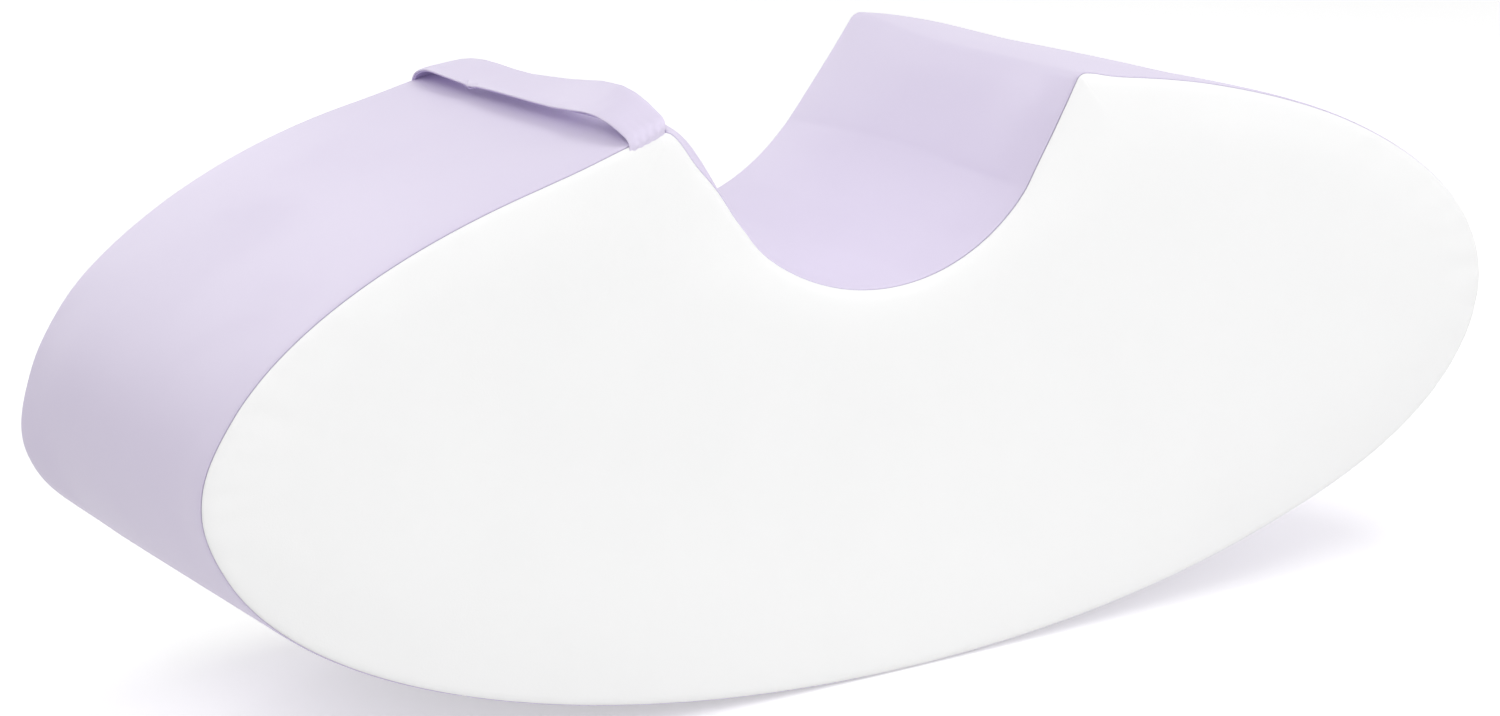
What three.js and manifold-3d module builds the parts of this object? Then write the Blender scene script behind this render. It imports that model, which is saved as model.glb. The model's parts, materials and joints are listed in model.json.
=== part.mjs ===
// Foam rocker for toddlers: an elliptical foam block with a saddle cut, in a sewn cover
// with a carrying strap beside the saddle and a long zip along the foot of its back.
// Millimetres. X runs along the rocker, Y across it, +Z up. The front is at -Y.
// The origin lies on the floor, under the middle of the part.

import * as THREE from "three";
import { mergeVertices } from "three/addons/utils/BufferGeometryUtils.js";
import Module from "manifold-3d";

const wasm = await Module();
wasm.setup();

// Block
const blockLength = 900;
const blockHeight = 361;          // of the whole ellipse, before the saddle is cut
const blockWidth = 300;           // between the flat margins of the two side panels
const restFlatDepth = 0.5;        // how far the weight presses the lowest line flat

// Saddle
const saddleRadius = 130;
const saddleBottomZ = 241;
const saddleHalfAngle = THREE.MathUtils.degToRad(52);
const saddleCornerRadius = 8;

// Cover
const coverThickness = 1.2;
const clearance = 0.3;            // between pieces that lie on each other
const edgeRollRadius = 6;         // the soft edge where a side panel meets the band
const sideMargin = 46;            // flat edge of a side panel, before it crowns
const sideCrown = 3;
const crownRib = 0.6;             // length of the line that a side crowns towards, as a share
const crownField = 0.7;           // where its middle field starts, on the way to that line
const baseSeamX = 300;            // cross seams under the two ends

// Strap
const strapWidth = 26;
const strapThickness = 1.5;       // of each of its two layers
const strapCornerGap = 0.5;       // from the saddle's corner seam to the strap's edge
const strapTail = 15;             // length of each end that is caught inside the cover
const strapFrontBow = 18.5;       // heights of the strap's middle line over the band
const strapSag = 12;
const strapBackBow = 11.5;
const strapFrontBowFromSeam = 52;
const strapBackBowFromSeam = 38;

// Zip
const zipLength = 400;            // of the rows of teeth
const zipInset = 27;              // of the zip's middle line from the edge of the base
const toothPitch = 5;
const toothThickness = 3.2;
const toothRoot = 4.4;            // from the middle line to the back of a tooth
const toothRootHalf = 1.6;        // half widths of a tooth along the zip
const toothNeckHalf = 0.8;
const toothHeadHalf = 1.3;
const toothNeck = 0.55;           // from the middle line to its neck
const toothTip = 1.7;             // how far it reaches past the middle line
const beadInner = 2.7;
const beadOuter = 3.7;
const beadThickness = 1.6;
const tapeWidth = 11.5;
const tapeThickness = 0.6;
const tapeTail = 26;              // tape past the last tooth at each end
const stopLength = 4;
const stopThickness = 4.6;
const stopReach = 2;              // of a stop over the edge of its tape
const bendStep = 22;              // longest straight length in a tape's bend

// Slider and its pull tab
const sliderLength = 16;
const sliderRearHalf = 6.3;
const sliderFrontHalf = 7.5;
const sliderWall = 1.4;           // flange beside the channel
const sliderPlate = 1;
const sliderCorner = 1;
const sliderFlareAt = 5;          // where its two channels are fully apart, from its middle
const wedgeTip = -1;              // the wedge between the channels, along the slider
const wedgeWidestAt = 3;
const wedgeHalf = 2.2;
const wedgeTailHalf = 1.3;
const sliderPlay = 0.35;          // of the slider on the teeth and on the tape
const windowPlay = 0.8;           // between the slider and the edges of its opening
const bridgeHalfLength = 5.5;
const bridgeHalfWidth = 1.5;
const bridgeHeight = 3.4;
const bridgeWall = 1.4;
const bridgeShoulder = 0.8;
const tabLength = 30;
const tabHalfWidth = 4.2;
const tabThickness = 1.2;
const tabPlay = 0.5;
const tabHoleRadius = 1.6;
const tabHoleFromEnd = 5.5;
const tabHoleSides = 12;

// Values that follow from these
const halfLength = blockLength / 2;
const halfHeight = blockHeight / 2;
const halfWidth = blockWidth / 2;
const centreZ = halfHeight - restFlatDepth;
const toDegrees = THREE.MathUtils.radToDeg;

// Profile of the block
// Each station is a point of the outline, seen from the front, with its outward normal.
// They run anticlockwise from the middle of the base.

function ellipseStation(angle) {
  const normal = new THREE.Vector2(Math.cos(angle) / halfLength, Math.sin(angle) / halfHeight);
  normal.normalize();
  const x = halfLength * Math.cos(angle);
  const z = centreZ + halfHeight * Math.sin(angle);
  return { x, z, nx: normal.x, nz: normal.y };
}

const ellipseZ = (x) => halfHeight * Math.sqrt(1 - (x / halfLength) ** 2);
const topZ = (x) => centreZ + ellipseZ(x);
const baseZ = (x) => Math.max(0, centreZ - ellipseZ(x));

// The saddle is an arc about the Z axis that runs out into two straight walls.
const saddleCentreZ = saddleBottomZ + saddleRadius;
const wallNormal = { x: -Math.sin(saddleHalfAngle), z: Math.cos(saddleHalfAngle) };
const wallFoot = {
  x: saddleRadius * Math.sin(saddleHalfAngle),
  z: saddleCentreZ - saddleRadius * Math.cos(saddleHalfAngle),
};

// Height of the saddle's surface at x, with its walls carried on upwards.
function saddleZ(x) {
  const ax = Math.abs(x);
  if (ax < wallFoot.x) return saddleCentreZ - Math.sqrt(saddleRadius ** 2 - ax ** 2);
  return wallFoot.z + (ax - wallFoot.x) * Math.tan(saddleHalfAngle);
}

// How far a point of the right half lies inside the wall of the saddle.
const insideWall = (x, z) => (wallFoot.x - x) * wallNormal.x + (wallFoot.z - z) * wallNormal.z;

// The corner fillet touches the ellipse where its centre is one radius inside the wall too.
function cornerFillet() {
  let low = Math.PI / 4;
  let high = Math.PI / 2;
  const centreOf = (angle) => {
    const s = ellipseStation(angle);
    return { x: s.x - s.nx * saddleCornerRadius, z: s.z - s.nz * saddleCornerRadius };
  };
  for (let turn = 0; turn < 50; turn += 1) {
    const middle = (low + high) / 2;
    const c = centreOf(middle);
    if (insideWall(c.x, c.z) > saddleCornerRadius) low = middle;
    else high = middle;
  }
  return { angle: low, centre: centreOf(low) };
}

const fillet = cornerFillet();

function rightHalfStations() {
  const stations = [];
  const flatAngle = Math.asin(-centreZ / halfHeight);
  const seamAngle = -Math.acos(baseSeamX / halfLength);
  const ellipseRun = (from, to, steps) => {
    for (let i = 0; i < steps; i += 1) {
      stations.push(ellipseStation(from + ((to - from) * i) / steps));
    }
  };
  ellipseRun(flatAngle, seamAngle, 8);
  const seamStart = stations.length;
  ellipseRun(seamAngle, fillet.angle, 22);
  stations[seamStart].seam = "base";
  const start = ellipseStation(fillet.angle);
  const startTurn = Math.atan2(start.nz, start.nx);
  const endTurn = Math.atan2(wallNormal.z, wallNormal.x);
  const cornerSteps = 4;
  for (let i = 0; i <= cornerSteps; i += 1) {
    const turn = startTurn + ((endTurn - startTurn) * i) / cornerSteps;
    const nx = Math.cos(turn);
    const nz = Math.sin(turn);
    const x = fillet.centre.x + saddleCornerRadius * nx;
    const z = fillet.centre.z + saddleCornerRadius * nz;
    stations.push({ x, z, nx, nz, seam: i === cornerSteps / 2 ? "corner" : undefined });
  }
  const wallTop = stations[stations.length - 1];
  const wallMiddle = { x: (wallTop.x + wallFoot.x) / 2, z: (wallTop.z + wallFoot.z) / 2 };
  stations.push({ ...wallMiddle, nx: wallNormal.x, nz: wallNormal.z });
  const arcSteps = 8;
  for (let i = 0; i < arcSteps; i += 1) {
    const turn = saddleHalfAngle * (1 - i / arcSteps);
    const x = saddleRadius * Math.sin(turn);
    const z = saddleCentreZ - saddleRadius * Math.cos(turn);
    stations.push({ x, z, nx: -Math.sin(turn), nz: Math.cos(turn) });
  }
  return stations;
}

const rightStations = rightHalfStations();
const leftStations = rightStations.map((s) => ({ ...s, x: -s.x, nx: -s.nx })).reverse();
const saddleMiddle = { x: 0, z: saddleBottomZ, nx: 0, nz: 1 };
const stations = [...rightStations, saddleMiddle, ...leftStations];

// Cross seams of the band: at the saddle's left corner, and under both ends.
const seamIndex = (seam, side) => stations.findIndex((s) => s.seam === seam && s.x * side > 0);
const cornerSeamIndex = seamIndex("corner", -1);
const rightSeamIndex = seamIndex("base", 1);
const leftSeamIndex = seamIndex("base", -1);

// Meshes built ring by ring

class Surface {
  constructor() {
    this.points = [];
    this.faces = [];
  }

  ring(points) {
    const first = this.points.length;
    this.points.push(...points);
    return points.map((_, i) => first + i);
  }

  // Joins two rings of as many points. The first ring's points run anticlockwise
  // about the way out when they are seen with the second ring inside them.
  join(a, b, closed = true) {
    const last = closed ? a.length : a.length - 1;
    for (let i = 0; i < last; i += 1) {
      const j = (i + 1) % a.length;
      this.faces.push([a[i], a[j], b[j]], [a[i], b[j], b[i]]);
    }
  }

  quad([a, b, c, d]) {
    this.faces.push([a, b, c], [a, c, d]);
  }

  // Moves every point by a mirroring rule, and turns the faces to suit.
  turnOver(mirror) {
    this.points = this.points.map(mirror);
    for (const face of this.faces) face.reverse();
  }

  cap(ring, flatten) {
    const contour = ring.map((i) => flatten(this.points[i]));
    for (const [a, b, c] of THREE.ShapeUtils.triangulateShape(contour, [])) {
      this.faces.push([ring[a], ring[b], ring[c]]);
    }
  }

  geometry(mirrored = false) {
    const flat = [];
    for (const [a, b, c] of this.faces) {
      for (const i of mirrored ? [a, c, b] : [a, b, c]) {
        const p = this.points[i];
        flat.push(p.x, mirrored ? -p.y : p.y, p.z);
      }
    }
    const geometry = new THREE.BufferGeometry();
    geometry.setAttribute("position", new THREE.Float32BufferAttribute(flat, 3));
    return geometry;
  }
}

// A closed solid from a mesh, and back, for cuts and joins.
function solid(geometry) {
  const bare = geometry.index ? geometry.toNonIndexed() : geometry.clone();
  bare.deleteAttribute("normal");
  bare.deleteAttribute("uv");
  const merged = mergeVertices(bare, 1e-4);
  const mesh = new wasm.Mesh({
    numProp: 3,
    vertProperties: merged.attributes.position.array,
    triVerts: new Uint32Array(merged.index.array),
  });
  return new wasm.Manifold(mesh);
}

function meshOf(made) {
  const mesh = made.getMesh();
  const geometry = new THREE.BufferGeometry();
  geometry.setAttribute("position", new THREE.BufferAttribute(mesh.vertProperties, 3));
  geometry.setIndex(new THREE.BufferAttribute(mesh.triVerts, 1));
  return geometry.toNonIndexed();
}

// Surfaces of the block and its cover
// depth is how far a layer lies inside the cover's outer surface.

// A ring along the rolled edge. roll is 0 on the band's face and a right angle on the side's.
function edgeRing(depth, roll, list = stations) {
  const radius = edgeRollRadius - depth;
  const inset = edgeRollRadius - radius * Math.cos(roll);
  const y = halfWidth - edgeRollRadius + radius * Math.sin(roll);
  return list.map((s) => new THREE.Vector3(s.x - s.nx * inset, y, s.z - s.nz * inset));
}

// Middle line of a side, towards which its rings close in.
function ribTarget(s) {
  const x = s.x * crownRib;
  const top = Math.min(saddleZ(x), topZ(x));
  return { x, z: (top + baseZ(x)) / 2 };
}

// A ring on the flat of a side panel: share 0 at the end of its margin, 1 at its middle field.
function sideRing(depth, share) {
  return stations.map((s) => {
    const edge = { x: s.x - s.nx * edgeRollRadius, z: s.z - s.nz * edgeRollRadius };
    const target = ribTarget(s);
    const reach = Math.hypot(target.x - edge.x, target.z - edge.z);
    const margin = (sideMargin - edgeRollRadius) / reach;
    const pull = margin + (crownField - margin) * share;
    const x = edge.x + (target.x - edge.x) * pull;
    const z = edge.z + (target.z - edge.z) * pull;
    return new THREE.Vector3(x, halfWidth - depth + sideCrown * (1 - (1 - share) ** 2), z);
  });
}

const rightAngle = Math.PI / 2;
const toFront = (p) => new THREE.Vector3(p.x, -p.y, p.z);
const seamGapAngle = clearance / 2 / (edgeRollRadius - coverThickness);
const seamRoll = Math.PI / 4;
const sideView = (p) => new THREE.Vector2(-p.x, p.z);

function sideRings(surface, depth, rolls) {
  const rings = rolls.map((roll) => surface.ring(edgeRing(depth, roll)));
  for (const share of [0, 0.5, 1]) rings.push(surface.ring(sideRing(depth, share)));
  return rings;
}

// Seen from the back, the stations run clockwise, so the side's outer rings are joined
// from the middle outwards.
function joinRings(surface, rings, outwards) {
  for (let i = 0; i + 1 < rings.length; i += 1) {
    if (outwards) surface.join(rings[i + 1], rings[i]);
    else surface.join(rings[i], rings[i + 1]);
  }
}

function sidePanel(mirrored) {
  const surface = new Surface();
  const rolls = [seamRoll + seamGapAngle, (seamRoll + rightAngle) / 2, rightAngle];
  const outer = sideRings(surface, 0, rolls);
  const inner = sideRings(surface, coverThickness, rolls);
  joinRings(surface, outer, true);
  joinRings(surface, inner, false);
  surface.join(outer[0], inner[0]);
  const middle = outer.length - 1;
  surface.cap([...outer[middle]].reverse(), sideView);
  const before = surface.faces.length;
  surface.cap([...inner[middle]].reverse(), sideView);
  for (let i = before; i < surface.faces.length; i += 1) surface.faces[i].reverse();
  return surface.geometry(mirrored);
}

function foamBlock() {
  const depth = coverThickness + clearance;
  const rolls = [0, seamRoll, rightAngle];
  const side = new Surface();
  const rings = sideRings(side, depth, rolls);
  joinRings(side, rings, true);
  side.cap([...rings[rings.length - 1]].reverse(), sideView);
  const middle = new Surface();
  const backEdge = edgeRing(depth, 0);
  const frontEdge = backEdge.map(toFront);
  middle.join(middle.ring(backEdge), middle.ring(frontEdge));
  const parts = [side.geometry(), side.geometry(true), middle.geometry()];
  const flat = parts.flatMap((g) => [...g.attributes.position.array]);
  const geometry = new THREE.BufferGeometry();
  geometry.setAttribute("position", new THREE.Float32BufferAttribute(flat, 3));
  return geometry;
}

// A length of the band: its stations, with both ends held back from the cross seams.
function bandStations(from, to) {
  const count = (to - from + stations.length) % stations.length;
  const list = [];
  for (let i = 0; i <= count; i += 1) list.push({ ...stations[(from + i) % stations.length] });
  const holdBack = (s, other) => {
    const length = Math.hypot(other.x - s.x, other.z - s.z);
    s.x += ((other.x - s.x) / length) * (clearance / 2);
    s.z += ((other.z - s.z) / length) * (clearance / 2);
  };
  holdBack(list[0], list[1]);
  holdBack(list[count], list[count - 1]);
  return list;
}

function bandPanel(from, to) {
  const list = bandStations(from, to);
  const lastRoll = seamRoll - seamGapAngle;
  const across = [lastRoll, lastRoll / 2, 0];
  const surface = new Surface();
  const layer = (depth) => {
    const back = across.map((roll) => edgeRing(depth, roll, list));
    const front = [...back].reverse().map((row) => row.map(toFront));
    return [...back, ...front].map((row) => surface.ring(row));
  };
  const outer = layer(0);
  const inner = layer(coverThickness);
  for (let i = 0; i + 1 < outer.length; i += 1) {
    surface.join(outer[i], outer[i + 1], false);
    surface.join(inner[i + 1], inner[i], false);
  }
  const last = outer.length - 1;
  surface.join(inner[0], outer[0], false);
  surface.join(outer[last], inner[last], false);
  const column = (rows, i) => rows.map((row) => row[i]);
  surface.join(column(outer, 0), column(inner, 0), false);
  surface.join(column(inner, list.length - 1), column(outer, list.length - 1), false);
  return surface.geometry();
}

// Zip
// Its middle line is a circle that stays zipInset inside the base from its lowest point to
// the ends of the teeth, so that the slider turns about the circle's centre.

function insetPoint(x, inset) {
  const s = ellipseStation(-Math.acos(x / halfLength));
  return { x: s.x - s.nx * inset, z: s.z - s.nz * inset };
}
const zipLowZ = zipInset - restFlatDepth;
const zipEnd = insetPoint(zipLength / 2, zipInset);
const zipRise = zipEnd.z - zipLowZ;
const zipRadius = (zipEnd.x ** 2 + zipRise ** 2) / (2 * zipRise);
const zipCentreZ = zipLowZ + zipRadius;
const zipY = halfWidth - coverThickness - clearance - tapeThickness / 2;

// A point given along the zip, up from its middle line, and out towards the back.
function onZip(along, up, y) {
  const angle = along / zipRadius;
  const radius = zipRadius - up;
  return new THREE.Vector3(radius * Math.sin(angle), y, zipCentreZ - radius * Math.cos(angle));
}

// A strip along the zip from low to high across it, with a step often enough to follow it.
function bentStrip(from, to, low, high, yOuter, yInner) {
  const steps = Math.max(1, Math.round((to - from) / bendStep));
  const corners = [[low, yOuter], [low, yInner], [high, yInner], [high, yOuter]];
  const surface = new Surface();
  const rings = [];
  for (let i = 0; i <= steps; i += 1) {
    const along = from + ((to - from) * i) / steps;
    rings.push(surface.ring(corners.map(([up, y]) => onZip(along, up, y))));
  }
  for (let i = 0; i < steps; i += 1) surface.join(rings[i + 1], rings[i]);
  surface.quad(rings[0]);
  surface.quad([...rings[steps]].reverse());
  return surface.geometry();
}

// The upper row starts the zip, and the lower row, half a pitch further on, ends it.
const toothCount = Math.round(zipLength / toothPitch);
const firstTooth = -zipLength / 2 + toothRootHalf;
const rowsEnd = firstTooth + (toothCount - 0.5) * toothPitch + toothRootHalf;

// One moulded tooth: a prism whose two flanks have a square hole, where the bead joins it to
// the next. Its outline runs from its back down the left flank, round the head and up again.
function addTooth(surface, along, hasLeft, hasRight) {
  const outline = [
    [along - toothRootHalf, toothRoot],
    [along - toothNeckHalf, toothNeck],
    [along - toothHeadHalf, -toothNeck],
    [along, -toothTip],
    [along + toothHeadHalf, -toothNeck],
    [along + toothNeckHalf, toothNeck],
    [along + toothRootHalf, toothRoot],
  ];
  const half = toothThickness / 2;
  const far = surface.ring(outline.map(([s, up]) => onZip(s, up, zipY + half)));
  const near = surface.ring(outline.map(([s, up]) => onZip(s, up, zipY - half)));
  const [backLeft, neckLeft, headLeft, tip, headRight, neckRight, backRight] = [0, 1, 2, 3, 4, 5, 6];
  const face = [
    [backLeft, neckLeft, neckRight],
    [backLeft, neckRight, backRight],
    [neckLeft, headLeft, headRight],
    [neckLeft, headRight, neckRight],
    [headLeft, tip, headRight],
  ];
  for (const [a, b, c] of face) {
    surface.faces.push([near[a], near[b], near[c]], [far[a], far[c], far[b]]);
  }
  const wall = (i, j) => [far[i], far[j], near[j], near[i]];
  const plain = [[neckLeft, headLeft], [headLeft, tip], [tip, headRight], [headRight, neckRight]];
  plain.push([backRight, backLeft]);
  for (const [i, j] of plain) surface.quad(wall(i, j));
  const slope = (toothRootHalf - toothNeckHalf) / (toothRoot - toothNeck);
  const hole = (side, first, second) => {
    const flankAt = (up) => along + side * (toothNeckHalf + slope * (up - toothNeck));
    const corner = (up, y) => onZip(flankAt(up), up, zipY + y);
    const bead = beadThickness / 2;
    const outer = [corner(first, bead), corner(second, bead)];
    return surface.ring([...outer, corner(second, -bead), corner(first, -bead)]);
  };
  const flank = (side, i, j, open) => {
    if (!open) {
      surface.quad(wall(i, j));
      return null;
    }
    const ring = side < 0 ? hole(side, beadOuter, beadInner) : hole(side, beadInner, beadOuter);
    surface.join(wall(i, j), ring);
    return ring;
  };
  const left = flank(-1, backLeft, neckLeft, hasLeft);
  const right = flank(1, neckRight, backRight, hasRight);
  return { left, right };
}

// One row of teeth on its bead. The lower row is the upper one turned over, half a pitch on.
function teethRow(side) {
  const surface = new Surface();
  const start = side > 0 ? firstTooth : firstTooth + toothPitch / 2;
  let before = null;
  for (let i = 0; i < toothCount; i += 1) {
    const tooth = addTooth(surface, start + i * toothPitch, i > 0, i < toothCount - 1);
    if (before) {
      const [outerFar, innerFar, innerNear, outerNear] = tooth.left;
      surface.join(before, [innerFar, outerFar, outerNear, innerNear]);
    }
    before = tooth.right;
  }
  if (side < 0) surface.turnOver((p) => acrossZip(p));
  return surface.geometry();
}

// The mirror image of a point across the zip's middle line.
function acrossZip(p) {
  const angle = Math.atan2(p.x, zipCentreZ - p.z);
  const radius = Math.hypot(p.x, zipCentreZ - p.z);
  return onZip(angle * zipRadius, radius - zipRadius, p.y);
}

const tapeInner = toothRoot + clearance;
const tapeOuter = tapeInner + tapeWidth;
const tapeReach = zipLength / 2 + tapeTail;

function tape(side) {
  const low = side > 0 ? tapeInner : -tapeOuter;
  const high = side > 0 ? tapeOuter : -tapeInner;
  const half = tapeThickness / 2;
  return bentStrip(-tapeReach, tapeReach, low, high, zipY + half, zipY - half);
}

// Slider
// Closed, it stands just past the last tooth, so that its wedge lies beyond the meshed rows.
const sliderHalf = sliderLength / 2;
const sliderS = rowsEnd + clearance - wedgeTip;
const channelHalfHeight = toothThickness / 2 + sliderPlay;
const sliderFace = channelHalfHeight + sliderPlate;
const channelRearHalf = sliderRearHalf - sliderWall;
const channelFrontHalf = sliderFrontHalf - sliderWall;
const openS = -zipLength / 2 + sliderHalf;
const sliderTravel = (sliderS - openS) / zipRadius;

const vectors = (points) => points.map(([a, b]) => new THREE.Vector2(a, b));

function extruded(points, depth, holes = []) {
  const shape = new THREE.Shape(vectors(points));
  shape.holes = holes.map((hole) => new THREE.Path(vectors(hole)));
  return new THREE.ExtrudeGeometry(shape, { depth, bevelEnabled: false });
}

// A flat shape of the slider, from yOuter to yInner off the middle plane of the tapes.
function sliderShape(points, yOuter, yInner, holes = []) {
  const geometry = extruded(points, yOuter - yInner, holes);
  geometry.rotateX(rightAngle);
  geometry.translate(0, yOuter, 0);
  return solid(geometry);
}

const box = (from, to, low, high) => [[from, low], [to, low], [to, high], [from, high]];
const mirrorZ = (points) => [...points, ...[...points].reverse().map(([x, z]) => [x, -z])];

// The hole that the channels leave for the wedge runs out past the slider's front end.
const wedge = [
  [wedgeTip, 0],
  [wedgeWidestAt, -wedgeHalf],
  [sliderHalf, -wedgeTailHalf],
  [sliderHalf + 1, -wedgeTailHalf],
  [sliderHalf + 1, wedgeTailHalf],
  [sliderHalf, wedgeTailHalf],
  [wedgeWidestAt, wedgeHalf],
];

function sliderBody() {
  const outline = mirrorZ([
    [-sliderHalf, -sliderRearHalf + sliderCorner],
    [-sliderHalf + sliderCorner, -sliderRearHalf],
    [0, -sliderRearHalf],
    [sliderFlareAt, -sliderFrontHalf],
    [sliderHalf - sliderCorner, -sliderFrontHalf + sliderCorner / 2],
    [sliderHalf, -sliderFrontHalf + 2 * sliderCorner],
  ]);
  const past = sliderHalf + 2;
  const channel = mirrorZ([
    [-past, -channelRearHalf],
    [0, -channelRearHalf],
    [sliderFlareAt, -channelFrontHalf],
    [past, -channelFrontHalf],
  ]);
  const slot = box(-past, past, -sliderFrontHalf - 1, sliderFrontHalf + 1);
  const slotHalf = tapeThickness / 2 + sliderPlay;
  return sliderShape(outline, sliderFace, -sliderFace)
    .subtract(sliderShape(channel, channelHalfHeight, -channelHalfHeight, [wedge]))
    .subtract(sliderShape(slot, slotHalf, -slotHalf, [wedge]))
    .add(solid(bridge()));
}

// The arch that holds the pull tab, drawn from the side.
function bridge() {
  const foot = sliderFace - sliderPlate / 2;
  const top = sliderFace + bridgeHeight;
  const inside = top - bridgeWall;
  const innerFoot = bridgeHalfLength - 1.8 * bridgeWall;
  const innerTop = bridgeHalfLength - 2.1 * bridgeWall;
  const shoulder = bridgeHalfLength - 1.6 * bridgeShoulder;
  const crown = bridgeHalfLength - 3.1 * bridgeShoulder;
  const outline = [
    [-bridgeHalfLength, foot],
    [-innerFoot, foot],
    [-innerTop, inside],
    [innerTop, inside],
    [innerFoot, foot],
    [bridgeHalfLength, foot],
    [shoulder, top - bridgeShoulder],
    [crown, top],
    [-crown, top],
    [-shoulder, top - bridgeShoulder],
  ];
  return extruded(outline, 2 * bridgeHalfWidth).translate(0, 0, -bridgeHalfWidth);
}

// Pull tab
// It lies back over the closed teeth and turns on its own cross bar under the bridge.
const pivotY = sliderFace + clearance + Math.SQRT1_2 * tabThickness;

function pullTab() {
  const eyeHalf = bridgeHalfWidth + tabPlay;
  const eyeEnd = -bridgeHalfLength - tabPlay;
  const outline = mirrorZ([
    [-tabLength, -tabHalfWidth * 0.4],
    [-tabLength + tabHalfWidth * 0.4, -tabHalfWidth * 0.8],
    [-tabLength + tabHalfWidth * 1.2, -tabHalfWidth * 0.9],
    [eyeEnd - tabHalfWidth, -tabHalfWidth * 0.7],
    [eyeEnd - tabHalfWidth / 2, -tabHalfWidth],
    [tabThickness / 2, -tabHalfWidth],
  ]);
  const eye = box(eyeEnd, -tabThickness / 2, -eyeHalf, eyeHalf);
  const hole = new THREE.Path().absarc(tabHoleFromEnd - tabLength, 0, tabHoleRadius, 0, 2 * Math.PI);
  const round = hole.getPoints(tabHoleSides / 2).slice(1).map((p) => [p.x, p.y]);
  return meshOf(sliderShape(outline, tabThickness / 2, -tabThickness / 2, [eye, round]));
}

// Stops
// Two clamp the tape edges beyond the closed slider, and one joins both rows at the other end.
const topStopS = sliderS + sliderHalf + clearance;
const bottomStopS = -zipLength / 2 - clearance - stopLength;
const stopOuter = tapeInner + stopReach;

// sides are the tapes that the stop holds: 1 for the upper one and -1 for the lower one.
function clampedStop(from, sides) {
  const to = from + stopLength;
  const low = sides.includes(-1) ? -stopOuter : beadInner;
  const high = sides.includes(1) ? stopOuter : -beadInner;
  const half = stopThickness / 2;
  const slotHalf = tapeThickness / 2 + clearance;
  let stop = solid(bentStrip(from, to, low, high, zipY + half, zipY - half));
  for (const side of sides) {
    const [slotLow, slotHigh] = side > 0 ? [toothRoot, high + 1] : [low - 1, -toothRoot];
    const slot = bentStrip(from - 1, to + 1, slotLow, slotHigh, zipY + slotHalf, zipY - slotHalf);
    stop = stop.subtract(solid(slot));
  }
  return meshOf(stop);
}

// Room for the zip in the foam and in the back panel

const windowHalf = sliderFrontHalf + windowPlay;
const windowFrom = bottomStopS - windowPlay;
const windowTo = topStopS + stopLength + windowPlay;

function zipWindow() {
  const outer = halfWidth + sideCrown + 1;
  const inner = halfWidth - coverThickness - 1;
  return solid(bentStrip(windowFrom, windowTo, -windowHalf, windowHalf, outer, inner));
}

function zipTrench() {
  const face = halfWidth + 1;
  const play = clearance;
  const tapes = bentStrip(
    -tapeReach - play,
    tapeReach + play,
    -tapeOuter - play,
    tapeOuter + play,
    face,
    zipY - tapeThickness / 2 - play,
  );
  const run = bentStrip(windowFrom, windowTo, -windowHalf, windowHalf, face, zipY - sliderFace - play);
  return solid(tapes).add(solid(run));
}

// Handle strap
// Both layers leave the two seams upright and bow over the band beside the saddle.

const strapCentreX = stations[cornerSeamIndex].x - strapCornerGap - strapWidth / 2;
const strapBandZ = topZ(strapCentreX);
const strapSlope = Math.atan2(
  topZ(strapCentreX + strapWidth / 2) - topZ(strapCentreX - strapWidth / 2),
  strapWidth,
);
const strapStack = 2 * strapThickness + clearance;
const seamLineY = halfWidth - edgeRollRadius + (edgeRollRadius - coverThickness) * Math.cos(seamRoll);
const strapSeamY = seamLineY - clearance - strapStack / 2;

// Points of its middle line, as distances in from the nearer seam and heights over the band.
const strapFront = [
  [0, -strapTail],
  [0, -strapTail / 2],
  [0, 0],
  [1, strapFrontBow * 0.42],
  [11, strapFrontBow * 0.78],
  [strapFrontBowFromSeam, strapFrontBow],
];
const strapBack = [
  [0, -strapTail],
  [0, -strapTail / 2],
  [0, 0],
  [0.5, strapBackBow * 0.32],
  [9, strapBackBow * 0.72],
  [strapBackBowFromSeam, strapBackBow],
  [strapBackBowFromSeam * 2, strapSag],
];
const strapPath = new THREE.CatmullRomCurve3(
  [
    ...strapFront.map(([inwards, z]) => new THREE.Vector3(0, inwards - strapSeamY, z)),
    new THREE.Vector3(0, 0, (strapFrontBow + strapSag) / 2),
    ...strapBack.map(([inwards, z]) => new THREE.Vector3(0, strapSeamY - inwards, z)).reverse(),
  ],
  false,
  "centripetal",
);

// One layer, from low to high over the middle surface of the strap.
function strapLayer(low, high) {
  const steps = 44;
  const surface = new Surface();
  const rings = [];
  for (let i = 0; i <= steps; i += 1) {
    const share = i / steps;
    const p = strapPath.getPointAt(share);
    const t = strapPath.getTangentAt(share);
    const corner = (across, up) => {
      const x = across * strapWidth / 2;
      const y = p.y - t.z * up;
      const z = p.z + t.y * up;
      return new THREE.Vector3(
        strapCentreX + x * Math.cos(strapSlope),
        y,
        strapBandZ + z + x * Math.sin(strapSlope),
      );
    };
    rings.push(surface.ring([corner(-1, low), corner(1, low), corner(1, high), corner(-1, high)]));
  }
  for (let i = 0; i < steps; i += 1) surface.join(rings[i + 1], rings[i]);
  surface.quad(rings[0]);
  surface.quad([...rings[steps]].reverse());
  return surface.geometry();
}

// The slots in the band's edge and in the foam that take the strap's two tails. In the band
// they run out through its end at the corner seam.
function strapSlots() {
  const tilt = (strapWidth / 2) * Math.sin(strapSlope);
  const above = strapFrontBow * 0.42 + tilt;
  const below = strapTail + tilt + clearance;
  const left = strapCentreX - strapWidth / 2 - clearance;
  const right = stations[cornerSeamIndex].x + 1;
  const slotAt = (y) => {
    const slot = new THREE.BoxGeometry(right - left, strapStack + 2 * clearance, above + below);
    return solid(slot.translate((left + right) / 2, y, strapBandZ + (above - below) / 2));
  };
  return slotAt(-strapSeamY).add(slotAt(strapSeamY));
}

// Materials

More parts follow.
